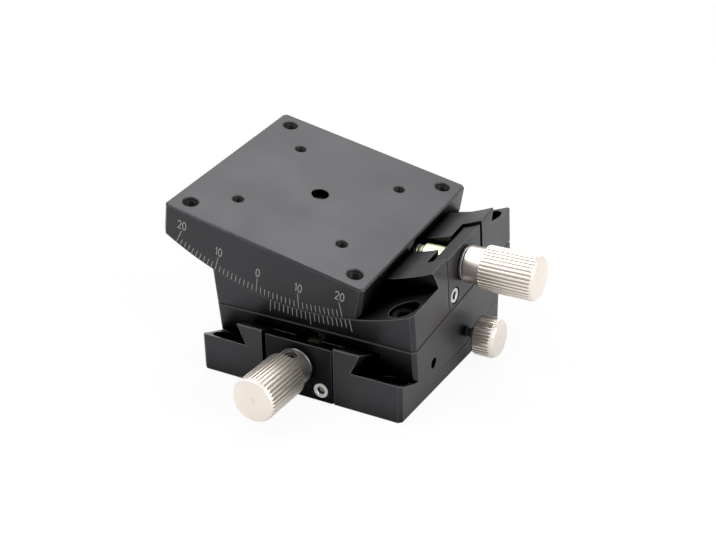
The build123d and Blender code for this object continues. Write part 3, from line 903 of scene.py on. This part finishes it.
def threadLining(place, size, sides=32):
    # a tube against the hole's wall with a right-hand thread inside: radius = crest + (wall - crest)
    # x wave(distance / pitch - turn), the wave a triangle cut flat, and all wall at the mouth
    mouth = mouthDepth(size)
    along = np.arange(mouth, size["depth"], size["pitch"] / 7)[:, None]
    angle = np.arange(sides)[None] * 2 * math.pi / sides
    phase = np.mod(along / size["pitch"] - angle / (2 * math.pi), 1.0)
    wave = np.clip(np.abs(phase - 0.5) * 2.6 - 0.2, 0, 1)
    lead = np.clip((along - mouth) / size["pitch"], 0, 1)
    inside = size["wall"] - (size["wall"] - size["crest"]) * (1 - wave) * lead - boreOverlap["clear"]
    outside = np.full((2, sides), size["wall"] + boreOverlap["thread"])
    radius = np.concatenate([inside, outside])
    along = np.concatenate([along, along[-1:], along[:1]])
    return newPiece("thread", meshOf("thread", roundX(-along, radius, angle), place, wrapRows=True))


def tappedTable(level):
    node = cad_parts[level + "_table"]
    mesh = node.data.copy()
    mesh.transform(node.matrix_world)
    if "custom_normal" in mesh.attributes:
        mesh.attributes.remove(mesh.attributes["custom_normal"])
    closeUp(mesh)
    table = newPiece(level + "TableBody", mesh)
    cones, threads = [], []
    for size in tappedHoles.values():
        for x in (-size["place"], size["place"]):
            for y in (-size["place"], size["place"]):
                place = stagePlace(level, True) @ moving(x, y, stageHeight) @ turning("Y", -90)
                cones.append(mouthCone(place, size))
                threads.append(threadLining(place, size))
    bore(table, joined("cones", cones))
    settle(table, bodyOf[level]["table"], "blackAnodised", "black_anodised", level + "_table")
    lining = joined(level + "TableThreads", threads)
    settle(lining, bodyOf[level]["table"], "shadedThread", "black_anodised")


tappedTable("upper")
print("upper table made")


# finishes of the nodes that stay, by a node's name without its stage or by the whole name
nodeFinish = {
    "base": "blackAnodised", "table": "blackAnodised", "worm_plate": "shadedBlackPlate", "gib": "blackAnodised",
    "worm_segment": "milledBrass", "tail_bush": "milledBrass", "clamp_pad": "milledBrass",
    # painted shade: the lower plate takes the copy that reflects less
    "lower_worm_plate": "dullShadedPlate",  # the photo shows this one duller than the upper one
}
for name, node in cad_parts.items():
    kind = name.split("_", 1)[1]
    chosen = nodeFinish.get(name, nodeFinish.get(kind))
    if chosen:
        node.data.materials.clear()
        node.data.materials.append(finish[chosen])


paleFloor = {
    "deep": (0.86, 0.86, 0.86, 1), "pale": (0.88, 0.88, 0.88, 1), "rough": 0.9, "grain": 2.0, "cloud": 90.0,
    "half": 3.0,  # metres
    "seen": 0.92, "reflected": 0.35,  # share that shines white to the camera and in reflections
}


def floorPiece():
    look = paleFloor
    material, tree, shader = newMaterial("paleFloor", 0.0)
    grain = placedGroup(tree, blastedGrain, {
        "Vector": onObject(tree), "Size": look["grain"], "Cloud": look["cloud"]})
    tree.links.new(mixColours(tree, grain["Clouds"], look["deep"], look["pale"]), shader.inputs["Base Color"])
    shader.inputs["Roughness"].default_value = look["rough"]
    path = addNode(tree, "ShaderNodeLightPath").outputs
    mirrored = addMath(tree, "MAXIMUM", path["Is Glossy Ray"], path["Is Transmission Ray"])
    shine = addNode(tree, "ShaderNodeEmission", {"Color": (1, 1, 1, 1), "Strength": 1.0})
    share = addMath(tree, "MAXIMUM", addMath(tree, "MULTIPLY", path["Is Camera Ray"], look["seen"]),
                    addMath(tree, "MULTIPLY", mirrored, look["reflected"]))
    blend = addNode(tree, "ShaderNodeMixShader", {0: share, 1: shader.outputs[0], 2: shine.outputs[0]})
    tree.links.new(blend.outputs[0], tree.nodes["Material Output"].inputs["Surface"])
    half = look["half"]
    mesh = bpy.data.meshes.new("floor")
    corners = [(-half, -half, 0), (half, -half, 0), (half, half, 0), (-half, half, 0)]
    mesh.from_pydata(corners, [], [(0, 1, 2, 3)])
    floor = newPiece("floor", mesh)
    floor.data.materials.append(material)


whiteRoom = {"light": 0.6, "seen": 1.0}  # strength as a light, and to the camera and in reflections


def surroundings():
    world = bpy.data.worlds.new("whiteRoom")
    bpy.context.scene.world = world
    world.use_nodes = True
    tree = world.node_tree
    tree.nodes["Background"].inputs["Color"].default_value = (1, 1, 1, 1)
    path = addNode(tree, "ShaderNodeLightPath").outputs
    mirrored = addMath(tree, "MAXIMUM", path["Is Glossy Ray"], path["Is Transmission Ray"])
    seen = addMath(tree, "MAXIMUM", path["Is Camera Ray"], mirrored)
    strength = spreadOver(tree, seen, whiteRoom["light"], whiteRoom["seen"])
    tree.links.new(strength, tree.nodes["Background"].inputs["Strength"])


def putInScene(name, data, place):
    holder = bpy.data.objects.new(name, data)
    holder.location = place
    bpy.context.scene.collection.objects.link(holder)
    return holder


# metres and watts
softLamps = {
    "keyLamp": {"place": (-0.35, -0.25, 0.7), "target": (0, 0, 0.02), "size": 0.5, "power": 2.1},
    "fillLamp": {"place": (0.6, -0.1, 0.35), "target": (0, 0, 0.03), "size": 0.4, "power": 2.2},
    "skyLamp": {"place": (-0.151, 0.406, 0.719), "target": (0, 0, 0.03), "size": 0.5, "power": 2.4},
}


def softLamp(name):
    look = softLamps[name]
    lamp = bpy.data.lights.new(name, "AREA")
    lamp.shape = "DISK"
    lamp.size = look["size"]
    lamp.energy = look["power"]
    towards = Vector(look["target"]) - Vector(look["place"])
    holder = putInScene(name, lamp, look["place"])
    holder.rotation_euler = towards.to_track_quat("-Z", "Y").to_euler()


photoCamera = {
    "place": (0.150756, -0.261555, 0.167677),  # metres
    "turn": (64.4356, 0.7471, 29.4120),  # degrees
    "lens": 62.377, "sensor": 36.0,  # millimetres
    "near": 0.01, "far": 20.0,  # metres
}


def setCamera():
    size = photoCamera
    camera = bpy.data.cameras.new("photoCamera")
    camera.sensor_width = size["sensor"]
    camera.lens = size["lens"]
    camera.clip_start = size["near"]
    camera.clip_end = size["far"]
    holder = putInScene("photoCamera", camera, size["place"])
    holder.rotation_euler = [math.radians(angle) for angle in size["turn"]]
    bpy.context.scene.camera = holder


floorPiece()
surroundings()
for name in softLamps:
    softLamp(name)
setCamera()
bpy.context.scene.view_settings.view_transform = "Standard"
print("light and camera set")
